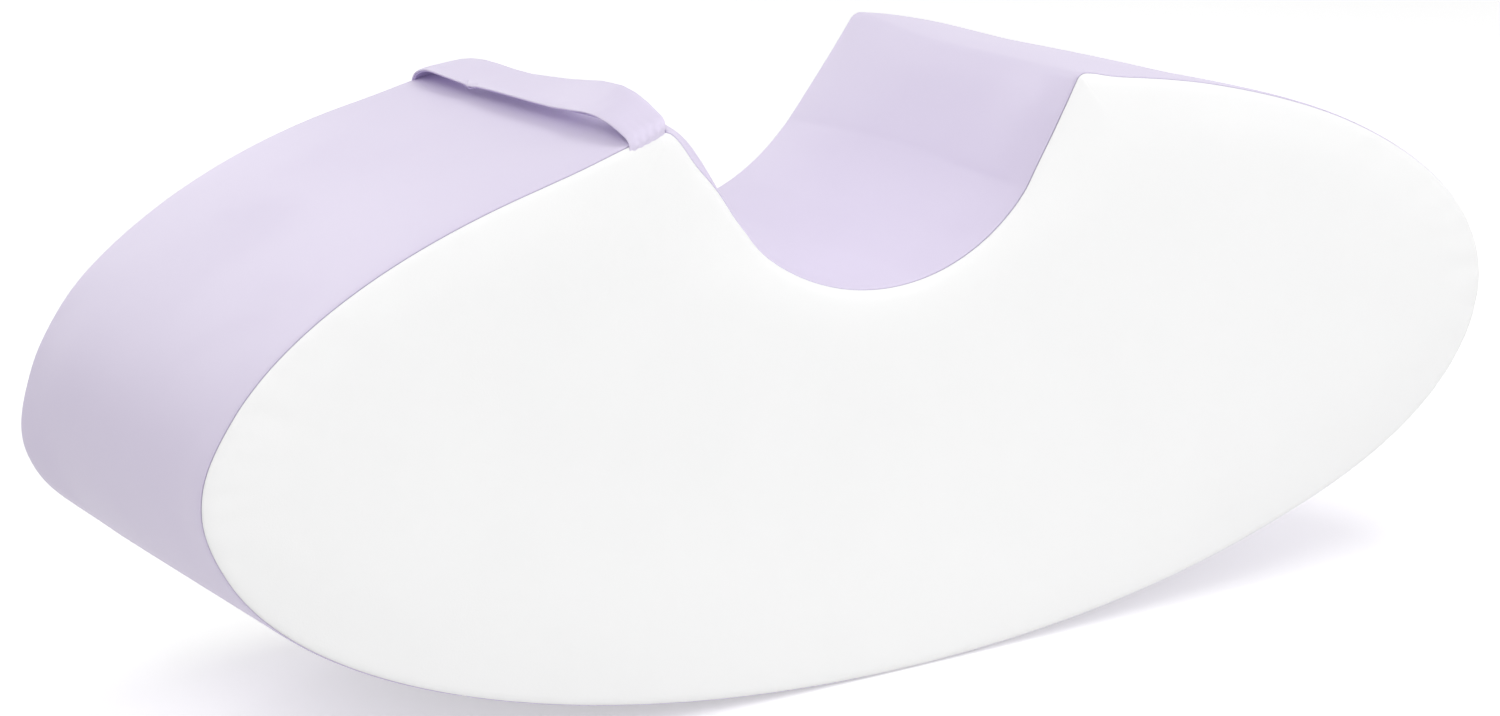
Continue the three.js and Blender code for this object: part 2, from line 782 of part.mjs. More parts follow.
const finish = (color, roughness, metalness = 0) => {
  return new THREE.MeshStandardMaterial({ color, roughness, metalness });
};
const whiteLeather = finish(0xf3f3f2, 0.55);
const lavenderLeather = finish(0xddd4ea, 0.55);
const foam = finish(0xf1edd9, 0.95);
const zipTape = finish(0xf0f0ee, 0.9);
const zipPlastic = finish(0xf5f5f3, 0.4);
const nickel = finish(0xc4c4c2, 0.3, 1);

// Assembly

const rocker = new THREE.Group();

function piece(parent, name, geometry, material) {
  const mesh = new THREE.Mesh(geometry, material);
  mesh.name = name;
  parent.add(mesh);
  return mesh;
}

const slots = strapSlots();
const core = solid(foamBlock()).subtract(zipTrench()).subtract(slots);
piece(rocker, "foam_core", meshOf(core), foam);

piece(rocker, "front_side_panel", sidePanel(true), whiteLeather);
const backPanel = solid(sidePanel(false)).subtract(zipWindow());
piece(rocker, "back_side_panel", meshOf(backPanel), whiteLeather);
piece(rocker, "base_panel", bandPanel(leftSeamIndex, rightSeamIndex), lavenderLeather);
piece(rocker, "seat_and_right_end_band", bandPanel(rightSeamIndex, cornerSeamIndex), lavenderLeather);
const leftBand = solid(bandPanel(cornerSeamIndex, leftSeamIndex)).subtract(slots);
piece(rocker, "left_end_band", meshOf(leftBand), lavenderLeather);

const layerGap = clearance / 2;
const layerFace = layerGap + strapThickness;
piece(rocker, "handle_strap", strapLayer(layerGap, layerFace), lavenderLeather);
piece(rocker, "handle_strap_lining", strapLayer(-layerFace, -layerGap), lavenderLeather);

piece(rocker, "zip_tape_upper", tape(1), zipTape);
piece(rocker, "zip_tape_lower", tape(-1), zipTape);
piece(rocker, "zip_teeth_upper", teethRow(1), zipPlastic);
piece(rocker, "zip_teeth_lower", teethRow(-1), zipPlastic);
piece(rocker, "zip_top_stop_upper", clampedStop(topStopS, [1]), nickel);
piece(rocker, "zip_top_stop_lower", clampedStop(topStopS, [-1]), nickel);
piece(rocker, "zip_bottom_stop", clampedStop(bottomStopS, [1, -1]), nickel);

const sliderAngle = sliderS / zipRadius;
const slider = new THREE.Group();
slider.rotation.y = -sliderAngle;
slider.position.set(
  zipRadius * Math.sin(sliderAngle),
  zipY,
  zipCentreZ - zipRadius * Math.cos(sliderAngle),
);
rocker.add(slider);
piece(slider, "zip_slider", meshOf(sliderBody()), nickel);
piece(slider, "zip_pull_tab", pullTab(), nickel).position.y = pivotY;

// The joints' places, for the record
const shown = (values, digits) => values.map((v) => v.toFixed(digits)).join(" ");
const pivot = new THREE.Vector3(0, pivotY, 0).applyEuler(slider.rotation).add(slider.position);
console.log("slider hinge", shown([0, zipY, zipCentreZ], 2));
console.log("slider travel", shown([toDegrees(sliderTravel)], 2), "degrees");
console.log("tab hinge", shown(pivot.toArray(), 2));
console.log("tab axis", shown([Math.sin(sliderAngle), 0, -Math.cos(sliderAngle)], 5));

export default rocker;
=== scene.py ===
# %% [markdown]
# # A foam rocker in a sewn cover
# This lesson dresses the CAD model of a toddler's foam rocker. The real one is a block of
# firm foam, cut to an ellipse with a saddle across its top. Over it lies a cover of faux
# leather: two white side panels, and a lavender band round the edge in three lengths. A
# carrying strap crosses the band beside the saddle, and a long zip runs along the foot of
# the back. The CAD model holds the sizes, so every piece made here is fitted to it.

# %% Load the CAD model
import json
import math

import bmesh
import bpy
import numpy as np
from mathutils import Matrix, Vector

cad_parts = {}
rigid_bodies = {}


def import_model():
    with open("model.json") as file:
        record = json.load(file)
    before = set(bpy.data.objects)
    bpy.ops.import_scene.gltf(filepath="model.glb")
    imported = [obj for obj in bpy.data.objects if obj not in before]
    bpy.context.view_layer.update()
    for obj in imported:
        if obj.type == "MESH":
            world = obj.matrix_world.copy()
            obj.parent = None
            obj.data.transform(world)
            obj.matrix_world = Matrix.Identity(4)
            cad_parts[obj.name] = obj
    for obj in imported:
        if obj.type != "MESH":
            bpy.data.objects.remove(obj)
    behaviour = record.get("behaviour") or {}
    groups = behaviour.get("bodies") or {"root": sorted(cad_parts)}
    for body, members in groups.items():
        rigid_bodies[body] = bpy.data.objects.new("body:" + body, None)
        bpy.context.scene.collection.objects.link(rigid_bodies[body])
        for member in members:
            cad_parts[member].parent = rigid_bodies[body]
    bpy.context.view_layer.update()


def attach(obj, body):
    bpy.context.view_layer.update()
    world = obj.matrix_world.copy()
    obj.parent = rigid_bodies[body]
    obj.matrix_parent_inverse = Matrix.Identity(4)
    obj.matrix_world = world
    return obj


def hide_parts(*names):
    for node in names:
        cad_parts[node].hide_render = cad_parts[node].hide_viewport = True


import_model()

# %% [markdown]
# ## The camera
# A photograph's camera can be worked back from edges whose real sizes are known. Here the
# front ellipse, the saddle and the far edges of the block gave the distance, the three
# angles and the focal length. The camera is made first, so that each later piece can be
# compared with the photograph as soon as it is there.

# %% Camera
block_half_width = 0.150
camera_aim = Vector((-0.1021, -block_half_width, 0.2159))
camera_distance = 2.3405
camera_yaw, camera_pitch, camera_roll = (math.radians(a) for a in (29.19, 14.32, 2.92))
photo_width, photo_focal_length = 1500, 3962.9

ahead = Vector((math.sin(camera_yaw), math.cos(camera_yaw), 0)) * math.cos(camera_pitch)
ahead.z = -math.sin(camera_pitch)
level = Vector((math.cos(camera_yaw), -math.sin(camera_yaw), 0))
downwards = ahead.cross(level)
to_right = math.cos(camera_roll) * level + math.sin(camera_roll) * downwards
to_top = math.sin(camera_roll) * level - math.cos(camera_roll) * downwards
turn = Matrix((to_right, to_top, -ahead)).transposed()

bpy.ops.object.camera_add(location=camera_aim - camera_distance * ahead, rotation=turn.to_euler())
camera = bpy.context.object
camera.data.sensor_width = 36
camera.data.lens = 36 * photo_focal_length / photo_width
camera.data.clip_end = 50
bpy.context.scene.camera = camera
print("camera at", [round(c, 3) for c in camera.location], "lens", round(camera.data.lens, 1))

# %% [markdown]
# ## Working in edit mode from a script
# By hand, one clicks on the points to change. A script says where they are instead. These
# helpers open a piece for editing, select its points by a test on their place, and close
# it again. Everything else is then done with the same operators that the menus call.

# %% Helpers for editing
def start_editing(piece):
    """Opens one piece for editing, with all of it selected."""
    if bpy.context.mode != "OBJECT":
        bpy.ops.object.mode_set(mode="OBJECT")
    bpy.ops.object.select_all(action="DESELECT")
    piece.select_set(True)
    bpy.context.view_layer.objects.active = piece
    bpy.ops.object.mode_set(mode="EDIT")
    bpy.ops.mesh.select_all(action="SELECT")


def select_where(piece, test, part="VERT"):
    """Selects the points, or the edges or faces between them, whose places pass the test."""
    start_editing(piece)
    bpy.ops.mesh.select_mode(type="VERT")
    bpy.ops.mesh.select_all(action="DESELECT")
    bpy.ops.object.mode_set(mode="OBJECT")
    for point in piece.data.vertices:
        point.select = bool(test(point.co))
    bpy.ops.object.mode_set(mode="EDIT")
    if part != "VERT":
        bpy.ops.mesh.select_mode(type=part)


def select_edges(piece, test):
    """Selects the edges whose two ends pass the test together."""
    start_editing(piece)
    bpy.ops.mesh.select_mode(type="EDGE")
    bpy.ops.mesh.select_all(action="DESELECT")
    bpy.ops.object.mode_set(mode="OBJECT")
    points = piece.data.vertices
    for edge in piece.data.edges:
        edge.select = bool(test(*(points[i].co for i in edge.vertices)))
    bpy.ops.object.mode_set(mode="EDIT")


def stop_editing():
    bpy.ops.object.mode_set(mode="OBJECT")


def apply_modifiers(piece):
    bpy.ops.object.select_all(action="DESELECT")
    piece.select_set(True)
    bpy.context.view_layer.objects.active = piece
    for modifier in list(piece.modifiers):
        bpy.ops.object.modifier_apply(modifier=modifier.name)


def place_in_mesh(piece):
    """Puts the object at the origin, unturned, with its place kept in its mesh."""
    bpy.ops.object.select_all(action="DESELECT")
    piece.select_set(True)
    bpy.context.view_layer.objects.active = piece
    bpy.ops.object.transform_apply(location=True, rotation=True, scale=True)


def describe(piece):
    """Prints a piece's number of faces and its size."""
    sides = [[v.co[axis] for v in piece.data.vertices] for axis in range(3)]
    size = " x ".join(f"{1000 * (max(side) - min(side)):.0f}" for side in sides)
    print(f"{piece.name}: {len(piece.data.polygons)} faces, {size} mm")


print("helpers ready")

# %% [markdown]
# ## The outline
# Seen from the front, the block is an ellipse with a saddle cut from its top: an arc that
# runs out into two straight walls. A hot wire cuts the real foam along just this line. In
# Blender the line starts as two circles. The first is squeezed to the ellipse and bisected
# along both walls, the second is bisected to the arc, and two edges join their ends.

# %% Outline of the block
half_length, half_height, centre_z = 0.450, 0.1805, 0.180
saddle_radius, saddle_centre_z, wall_angle = 0.130, 0.371, math.radians(52)
wall_out = Vector((math.sin(wall_angle), 0, -math.cos(wall_angle)))
arc_end = wall_out * saddle_radius
ellipse_points, arc_points = 224, 88

bpy.ops.object.select_all(action="DESELECT")
bpy.ops.mesh.primitive_circle_add(vertices=ellipse_points, radius=1)
cover = bpy.context.object
cover.name = "cover"
start_editing(cover)
bpy.ops.transform.resize(value=(half_length, half_height, 1))
bpy.ops.transform.rotate(value=-math.pi / 2, orient_axis="X", center_override=(0, 0, 0))
bpy.ops.transform.translate(value=(0, 0, centre_z))
for side in (-1, 1):
    select_where(cover, lambda p: p.z > centre_z and p.x * side > -1e-6)
    bpy.ops.mesh.bisect(
        plane_co=(side * arc_end.x, 0, saddle_centre_z + arc_end.z),
        plane_no=(-side * wall_out.x, 0, -wall_out.z),
        clear_outer=True,
    )

bpy.ops.mesh.select_all(action="DESELECT")
bpy.ops.mesh.primitive_circle_add(
    vertices=arc_points,
    radius=saddle_radius,
    location=(0, 0, saddle_centre_z),
    rotation=(math.pi / 2, 0, 0),
)


def on_arc(p):
    return abs(math.hypot(p.x, p.z - saddle_centre_z) - saddle_radius) < 1e-5


for side in (-1, 1):
    select_where(cover, lambda p: on_arc(p) and p.x * side > -1e-6)
    bpy.ops.mesh.bisect(
        plane_co=(0, 0, saddle_centre_z),
        plane_no=(side * -wall_out.z, 0, wall_out.x),
        clear_outer=True,
    )
stop_editing()
print("points in the two open lines:", len(cover.data.vertices))

# %% [markdown]
# The open ends are joined by the straight walls, which get points of their own, and the
# two corners are rounded with a bevel of their points.

# %% Walls and corners of the saddle
def loose_ends(piece):
    """Copies of the places of the points that only one edge uses."""
    uses = np.bincount([i for e in piece.data.edges for i in e.vertices])
    return [v.co.copy() for v in piece.data.vertices if uses[v.index] == 1]


corner_radius, slope_at_corner = 0.008, 0.153
corners = [p for p in loose_ends(cover) if p.z > centre_z + half_height / 2]
corner_cut = corner_radius * math.tan((wall_angle + math.atan(slope_at_corner)) / 2)
select_where(cover, lambda p: any(1e-5 < (p - c).length < 1.2 * corner_cut for c in corners))
bpy.ops.mesh.dissolve_verts()
for side in (-1, 1):
    ends = [p for p in loose_ends(cover) if p.x * side > 0]
    select_where(cover, lambda p: any((p - end).length < 1e-6 for end in ends))
    bpy.ops.mesh.edge_face_add()
    bpy.ops.mesh.subdivide(number_cuts=8)
select_where(cover, lambda p: any((p - c).length < 1e-6 for c in corners))
bpy.ops.mesh.bevel(offset=corner_cut, segments=4, affect="VERTICES")
stop_editing()
print("closed outline:", not loose_ends(cover), len(cover.data.vertices), "points")

# %% [markdown]
# ## The whole cover
# The outline is extruded across the block and closed by two faces. The cover doesn't turn
# sharply from the band to the sides: it rolls over on a radius of 6 mm. A bevel with four
# steps makes that roll. The white sides wrap most of it, so the third of its lines is where
# they are sewn to the band.

# %% Band, sides and rolled edge
roll_radius, roll_steps, seam_on_roll = 0.006, 4, math.radians(67.5)
rows_across = 32
seam_y = block_half_width - roll_radius * (1 - math.cos(seam_on_roll))

start_editing(cover)
bpy.ops.transform.translate(value=(0, -block_half_width, 0))
bpy.ops.mesh.extrude_edges_move(TRANSFORM_OT_translate={"value": (0, 2 * block_half_width, 0)})
for side in (-1, 1):
    select_where(cover, lambda p: p.y * side > block_half_width - 1e-5, "EDGE")
    bpy.ops.mesh.edge_face_add()
start_editing(cover)
bpy.ops.mesh.normals_make_consistent(inside=False)
stop_editing()
select_edges(cover, lambda a, b: abs(a.y - b.y) < 1e-5)
bpy.ops.mesh.bevel(offset=roll_radius, segments=roll_steps, profile=0.5, affect="EDGES")
select_edges(cover, lambda a, b: abs(a.y - b.y) > block_half_width)
bpy.ops.mesh.subdivide(number_cuts=rows_across - 1)
stop_editing()
describe(cover)

# %% [markdown]
# The two sides are still one face each, which can't bend. Grid Fill spans them with a net
# of squares between the points of the rim. It starts at the active point and counts 30
# steps up or down the left end, so that as many are left over the saddle as at the base.

# %% Faces of the side panels
grid_rows = 30
grid_start = {-1: 24, 1: -6}

for side in (-1, 1):
    select_where(cover, lambda p: p.y * side > block_half_width - 1e-5, "FACE")
    bpy.ops.mesh.delete(type="ONLY_FACE")
    select_where(cover, lambda p: p.y * side > block_half_width - 1e-5, "EDGE")
    net = bmesh.from_edit_mesh(cover.data)
    left_end = [v for v in net.verts if v.select and v.co.x < -half_length / 2]
    left_end.sort(key=lambda v: v.co.z)
    middle = min(range(len(left_end)), key=lambda i: abs(left_end[i].co.z - centre_z))
    net.select_history.add(left_end[middle + grid_start[side]])
    bpy.ops.mesh.fill_grid(span=grid_rows, use_interp_simple=True)
stop_editing()
describe(cover)

# %% [markdown]
# ## Seam lines
# The panels meet in two loops round the sides, in a cross seam under each end, and in one
# at the saddle's left corner. Their points go into a vertex group now, while they are easy
# to find by their place.

# %% Seam points
base_seam_point = 30
base_seam_x = half_length * math.cos(math.radians(360 / ellipse_points * base_seam_point))
same_line = 2e-5
left_tip, right_tip = (min(corners, key=lambda p: -side * p.x) for side in (-1, 1))
across_middle = [v.co for v in cover.data.vertices if abs(v.co.y) < 0.01]
corner_middle = min(across_middle, key=lambda p: math.hypot(p.x - left_tip.x, p.z - left_tip.z))
corner_line = Vector((corner_middle.x - left_tip.x, 0, corner_middle.z - left_tip.z)).normalized()


def on_side_seam(p):
    return abs(abs(p.y) - seam_y) < same_line


def on_base_seam(p):
    return p.z < centre_z and abs(abs(p.x) - base_seam_x) < 0.002


def on_corner_seam(p):
    out = Vector((p.x - left_tip.x, 0, p.z - left_tip.z))
    return out.length < 0.009 and out.cross(corner_line).length < 2e-4


def on_cross_seam(p):
    return abs(p.y) < seam_y + same_line and (on_base_seam(p) or on_corner_seam(p))


select_where(cover, lambda p: on_side_seam(p) or on_cross_seam(p))
seams = cover.vertex_groups.new(name="seams")
bpy.ops.object.vertex_group_assign()
stop_editing()
print("seam points:", sum(1 for v in cover.data.vertices if v.select))

# %% [markdown]
# Soft foam never keeps its drawn shape quite. In the photograph the two walls of the saddle
# lean in at the front, the right one leans out at the back, the left one is fuller behind
# its front edge, the corner by the strap stands a little proud, and both ends are a few
# millimetres fuller than the ellipse. Proportional editing does such things: a few points
# are pulled, and their neighbours follow less and less. The order matters, because each
# pull picks its points by where they are by then. The whole block also stands a little
# taller than drawn, so at the end it is scaled up from the floor.

# %% Leaning corners
grip = 0.009
leans = [
    # place of the pulled points, their spread across the block, pull, reach of the pull
    # the saddle's two corners, at the front and at the back
    ((right_tip.x, -block_half_width, right_tip.z), 0.010, (-0.0090, 0, 0.0005), 0.085),
    ((right_tip.x, block_half_width, right_tip.z), 0.010, (0.0080, 0, 0.0030), 0.120),
    ((left_tip.x, 0, left_tip.z), 0.160, (0.0005, 0, 0.0030), 0.055),
    ((left_tip.x, -block_half_width, left_tip.z), 0.010, (0.0004, 0, 0.0030), 0.085),
    # its left wall: two places of the front edge, then the fuller part behind it
    ((-0.131, -block_half_width, 0.3340), 0.010, (-0.0028, 0, -0.0005), 0.017),
    ((-0.1085, -block_half_width, 0.3010), 0.010, (0.0056, 0, -0.0034), 0.036),
    ((-0.134, -0.112, 0.3330), 0.012, (0.0115, 0, 0.0086), 0.048),
    ((-0.134, -0.005, 0.3330), 0.055, (0.0056, 0, 0.0042), 0.045),
    # its right wall, and the top behind it
    ((0.128, -block_half_width, 0.3230), 0.010, (0.0022, 0, 0), 0.035),
    ((0.290, block_half_width, 0.3180), 0.010, (0, 0, -0.0045), 0.130),
    ((0.275, 0, 0.3229), 0.060, (0, 0, -0.0030), 0.110),
    # the right end, at the front
    ((0.444, -block_half_width, 0.1500), 0.010, (0.0050, 0, 0), 0.150),
    ((0.375, -block_half_width, 0.0830), 0.010, (0.0022, 0, -0.0020), 0.120),
    # the left top and the left end, at the back
    ((-0.275, block_half_width, 0.3230), 0.010, (-0.0016, 0, 0.0040), 0.190),
    ((-0.443, block_half_width, 0.1470), 0.010, (-0.0046, 0, -0.0006), 0.050),
    ((-0.412, block_half_width, 0.1070), 0.010, (0.0010, 0, 0.0007), 0.050),
    ((-0.440, block_half_width, 0.2180), 0.010, (0.0020, 0, -0.0005), 0.050),
    # the sharp front end of the right corner, and the left end at the front
    ((0.1465, -block_half_width, 0.3500), 0.004, (0.0006, 0, 0.0018), 0.012),
    ((-0.4493, -block_half_width, 0.1900), 0.010, (-0.0025, 0, 0), 0.042),
]
for (x, y, z), spread, pull, reach in leans:
    select_where(cover, lambda p: math.hypot(p.x - x, p.z - z) < grip and abs(p.y - y) < spread)
    bpy.ops.transform.translate(
        value=pull,
        use_proportional_edit=True,
        proportional_edit_falloff="SMOOTH",
        proportional_size=reach,
    )
    stop_editing()
print(len(leans), "pulls")

taller = 1.0068
start_editing(cover)
bpy.ops.transform.resize(value=(1, 1, taller), center_override=(0, 0, 0))
stop_editing()
describe(cover)

# %% [markdown]
# The block rests on its lowest line, which its weight presses flat. Points that would lie
# under the floor are scaled up to it.

# %% Contact with the floor
select_where(cover, lambda p: p.z < 0)
bpy.ops.transform.resize(value=(1, 1, 0), center_override=(0, 0, 0))
stop_editing()
describe(cover)

# %% [markdown]
# ## The foam
# The foam inside has the same shape, but smaller: the cover, its turned seams and the zip
# need room. A copy of the closed shape, shrunk along its own normals, is enough for it.

# %% Foam block
foam_inset = 0.0055


def copy_piece(piece, name):
    bpy.ops.object.select_all(action="DESELECT")
    piece.select_set(True)
    bpy.context.view_layer.objects.active = piece
    bpy.ops.object.duplicate()
    bpy.context.object.name = name
    return bpy.context.object


foam = copy_piece(cover, "foam_block")
start_editing(foam)
bpy.ops.mesh.normals_make_consistent(inside=False)
bpy.ops.transform.shrink_fatten(value=-foam_inset)
stop_editing()
describe(foam)

# %% [markdown]
# ## What holds the cover down
# The seams hold the cover while the rest of it swells. The strip that carries the zip is
# held as well, and so is the line that lies on the floor.

# %% Held points
zip_centre_z, zip_radius, zip_half_band = 1.0724, 1.0459, 0.022


def at_zip(p):
    return p.y > seam_y and abs(math.hypot(p.x, p.z - zip_centre_z) - zip_radius) < zip_half_band


select_where(cover, lambda p: at_zip(p) or p.z < 1e-5)
cover.vertex_groups.active = seams
bpy.ops.object.vertex_group_select()
cover.vertex_groups.new(name="held")
bpy.ops.object.vertex_group_assign()
stop_editing()
print("held points:", sum(1 for v in cover.data.vertices if v.select))

# %% [markdown]
# ## Air under the cover
# Firm foam pushes its cover out evenly. The cloth simulation does that with a pressure
# from inside and no gravity, while the stitched points stay where they are. Foam gives far
# less than air, so afterwards each point keeps only a few millimetres of its way. The side
# panels crease a little at the saddle's two corners, so they are smoothed there.

# %% Cloth simulation
def mesh_points(piece):
    points = np.empty(3 * len(piece.data.vertices))
    piece.data.vertices.foreach_get("co", points)
    return points.reshape(-1, 3)


def swell(piece, pressure, most, easing):
    """Blows a piece up, then lets no point go further than most(point)."""
    before = mesh_points(piece)
    modifier = piece.modifiers.new("Air", "CLOTH")
    modifier.settings.vertex_group_mass = "held"
    modifier.settings.use_pressure = True
    modifier.settings.uniform_pressure_force = pressure
    modifier.settings.effector_weights.gravity = 0
    modifier.point_cache.frame_end = 20
    for frame_number in range(1, 21):
        bpy.context.scene.frame_set(frame_number)
    apply_modifiers(piece)
    bpy.context.scene.frame_set(1)
    way = mesh_points(piece) - before
    far = np.maximum(np.linalg.norm(way, axis=1), 1e-9)
    limit = np.array([most(p) for p in before])
    after = before + way * (limit * np.tanh(far / (easing * limit)) / far)[:, None]
    after[:, 2] = np.maximum(after[:, 2], 0)
    piece.data.vertices.foreach_set("co", after.ravel())
    piece.data.update()
    kept = np.linalg.norm(after - before, axis=1)
    print(f"{piece.name}: moved up to {1000 * far.max():.1f} mm, kept {1000 * kept.max():.1f} mm")


side_give, band_give = 0.0032, 0.0020
crease_reach = 0.09


def most_give(p):
    return side_give if abs(p[1]) > seam_y else band_give


def may_crease(p):
    """True for points of the side panels near a corner of the saddle."""
    to_corner = min((p.xz - tip.xz).length for tip in (left_tip, right_tip))
    return abs(p.y) > block_half_width + 3e-4 and to_corner < crease_reach


swell(cover, pressure=4, most=most_give, easing=1.6)
select_where(cover, may_crease)
bpy.ops.mesh.vertices_smooth(factor=0.5, repeat=14)
stop_editing()
describe(cover)

# %% [markdown]
# ## Seams
# The panels are sewn inside out and turned, so each seam shows as a fine, deep line between
# two soft lips. A bevel splits every stitched edge into two narrow strips. Their middle
# line is pulled into the block, and there the cover comes apart into its five panels.

# %% Seams and panels
seam_lip, seam_depth = 0.00034, 0.0016

start_editing(cover)
bpy.ops.mesh.select_mode(type="VERT")
bpy.ops.mesh.select_all(action="DESELECT")
cover.vertex_groups.active = cover.vertex_groups["seams"]
bpy.ops.object.vertex_group_select()
bpy.ops.mesh.select_mode(type="EDGE")
bpy.ops.mesh.bevel(offset=seam_lip, segments=2, affect="EDGES")
bpy.ops.mesh.select_mode(type="VERT")
bpy.ops.mesh.select_less()
bpy.ops.transform.shrink_fatten(value=-seam_depth)
bpy.ops.mesh.select_mode(type="EDGE")
bpy.ops.mesh.edge_split(type="EDGE")
stop_editing()
start_editing(cover)
bpy.ops.mesh.separate(type="LOOSE")
stop_editing()
panels = list(bpy.context.selected_objects)
for panel in panels:
    describe(panel)

# %% [markdown]
# Each panel now gets its name from its place, a smoother surface and the thickness of faux
# leather, 1.1 mm, towards the foam.

# %% Panel thickness
leather_thickness = 0.0011


def panel_name(panel):
    points = mesh_points(panel)
    if points[:, 1].max() < 0:
        return "front_side_cover"
    if points[:, 1].min() > 0:
        return "back_side_cover"
    if points[:, 2].max() < centre_z / 2:
        return "base_cover"
    return "left_end_cover" if points[:, 0].max() < 0 else "seat_and_right_end_cover"


def mark_seam(panel):
    """Gives a panel the attribute "seam", which is 1 on its border and 0 elsewhere; the leather is
    painted darker by it, as shade in the seams.
    """
    start_editing(panel)
    bpy.ops.mesh.select_mode(type="VERT")
    bpy.ops.mesh.select_all(action="DESELECT")
    bpy.ops.mesh.select_non_manifold()
    stop_editing()
    marks = panel.data.attributes.new("seam", "FLOAT", "POINT")
    marks.data.foreach_set("value", [float(v.select) for v in panel.data.vertices])


cover_panels = {}
for panel in panels:
    panel.name = panel_name(panel)
    mark_seam(panel)
    cover_panels[panel.name] = panel
    subdivision = panel.modifiers.new("Smooth", "SUBSURF")
    subdivision.levels = subdivision.render_levels = 1
    subdivision.boundary_smooth = "PRESERVE_CORNERS"
    leather = panel.modifiers.new("Leather", "SOLIDIFY")
    leather.thickness = leather_thickness
    leather.offset = -1
    apply_modifiers(panel)
    bpy.ops.object.shade_smooth_by_angle(angle=math.radians(50))
    describe(panel)

# %% [markdown]
# ## Opening for the zip
# The back panel is open over the zip, and the leather round the opening is folded back on
# itself to a firm hem. The zip lies on a circle, as the base does, so a small upright face
# that is spun about the centre of that circle gives a block of just this bend. Booleans with
# such blocks cut the opening, and shape the hem that lines it.

# %% Zip opening and hem
window_from, window_to, window_half = -0.2051, 0.2151, 0.0083
hem_width, hem_rise, hem_overlap = 0.0036, 0.0005, 0.0002
spin_step = 0.006
through_panel = (0.14, 0.16)


def at_zip_angle(angle, radius, y):
    """The place on a circle about the zip's centre, at an angle from straight down."""
    return (radius * math.sin(angle), y, zip_centre_z - radius * math.cos(angle))


def spun_block(name, start, end, half_width, low_y, high_y):
    """A block along the zip, from start to end in metres, as wide to each side."""
    angle = start / zip_radius
    place = at_zip_angle(angle, zip_radius, (low_y + high_y) / 2)
    bpy.ops.object.select_all(action="DESELECT")
    bpy.ops.mesh.primitive_plane_add(size=1, location=place, rotation=(0, math.pi / 2 - angle, 0))
    block = bpy.context.object
    block.name = name
    start_editing(block)
    bpy.ops.transform.resize(value=(2 * half_width, high_y - low_y, 1), orient_type="LOCAL")
    bpy.ops.mesh.spin(
        steps=round((end - start) / spin_step),
        angle=(end - start) / zip_radius,
        center=(0, 0, zip_centre_z),
        axis=(0, 1, 0),
    )
    bpy.ops.mesh.select_all(action="SELECT")
    bpy.ops.mesh.normals_make_consistent(inside=False)
    stop_editing()
    place_in_mesh(block)
    return block


def cut_away(piece, cutter):
    """Takes one block away from a piece, and removes the block."""
    boolean = piece.modifiers.new("Cut", "BOOLEAN")
    boolean.operation = "DIFFERENCE"
    boolean.solver = "EXACT"
    boolean.object = cutter
    apply_modifiers(piece)
    bpy.data.objects.remove(cutter)


def window_block(name, wider, low_y, high_y):
    """A block over the window, wider than it by the same length all round."""
    start, end = window_from - wider, window_to + wider
    return spun_block(name, start, end, window_half + wider, low_y, high_y)


back_panel = cover_panels["back_side_cover"]
cut_away(back_panel, window_block("cutter", hem_width - hem_overlap, *through_panel))
hem = window_block(
    "zip_window_hem", hem_width, block_half_width - leather_thickness, block_half_width + hem_rise
)
cut_away(hem, window_block("cutter", 0, *through_panel))
fold = hem.modifiers.new("Fold", "BEVEL")
fold.width = 0.0006
fold.segments = 3
fold.limit_method = "ANGLE"
fold.angle_limit = math.radians(50)
apply_modifiers(hem)
bpy.ops.object.shade_smooth_by_angle(angle=math.radians(50))
describe(back_panel)
describe(hem)

# %% [markdown]
# A row of stitches holds the hem and the zip's tapes. One stitch is shaped from a small
# sphere, drawn long, with its ends pressed into the leather. Spin with Duplicate sets its
# copies along the circle, and plain duplicates close the row at both ends.

# %% Stitches round the zip
stitch_pitch, stitch_length, stitch_width, stitch_height = 0.0036, 0.0026, 0.0007, 0.0005
stitch_slant, stitch_dip = math.radians(9), 0.00018
stitch_y = block_half_width + hem_rise
row_half = window_half + hem_width / 2
row_from, row_to = window_from - hem_width / 2, window_to + hem_width / 2


def add_stitch(along, up, across):
    """One stitch, at a length along the zip and a height above its middle line."""
    angle = along / zip_radius
    place = at_zip_angle(angle, zip_radius - up, stitch_y)
    turned = math.pi / 2 if across else 0
    bpy.ops.object.select_all(action="DESELECT")
    bpy.ops.mesh.primitive_uv_sphere_add(
        segments=8, ring_count=6, radius=0.5, location=place, rotation=(0, turned - angle, 0)
    )
    stitch = bpy.context.object
    start_editing(stitch)
    bpy.ops.transform.resize(
        value=(stitch_length, stitch_height, stitch_width), orient_type="LOCAL"
    )
    bpy.ops.transform.rotate(value=stitch_slant, orient_axis="Y", center_override=place)
    stop_editing()
    select_where(stitch, lambda p: abs(p.x) > 0.3 * stitch_length)
    bpy.ops.transform.translate(value=(0, -stitch_dip, 0))
    stop_editing()
    return stitch


rows = []
for side in (-1, 1):
    row = add_stitch(row_from + stitch_pitch / 2, side * row_half, across=False)
    start_editing(row)
    count = int((row_to - row_from) / stitch_pitch)
    bpy.ops.mesh.spin(
        steps=count - 1,
        dupli=True,
        angle=(count - 1) * stitch_pitch / zip_radius,
        center=(0, 0, zip_centre_z),
        axis=(0, 1, 0),
    )
    stop_editing()
    rows.append(row)
for along in (row_from, row_to):
    angle = along / zip_radius
    next_stitch = (-stitch_pitch * math.sin(angle), 0, stitch_pitch * math.cos(angle))
    row = add_stitch(along, -row_half + stitch_pitch / 2, across=True)
    start_editing(row)
    for _ in range(int(2 * row_half / stitch_pitch) - 1):
        bpy.ops.mesh.duplicate()
        bpy.ops.transform.translate(value=next_stitch)
    stop_editing()
    rows.append(row)
for row in rows:
    place_in_mesh(row)
    bpy.ops.object.shade_smooth()
bpy.ops.object.select_all(action="DESELECT")
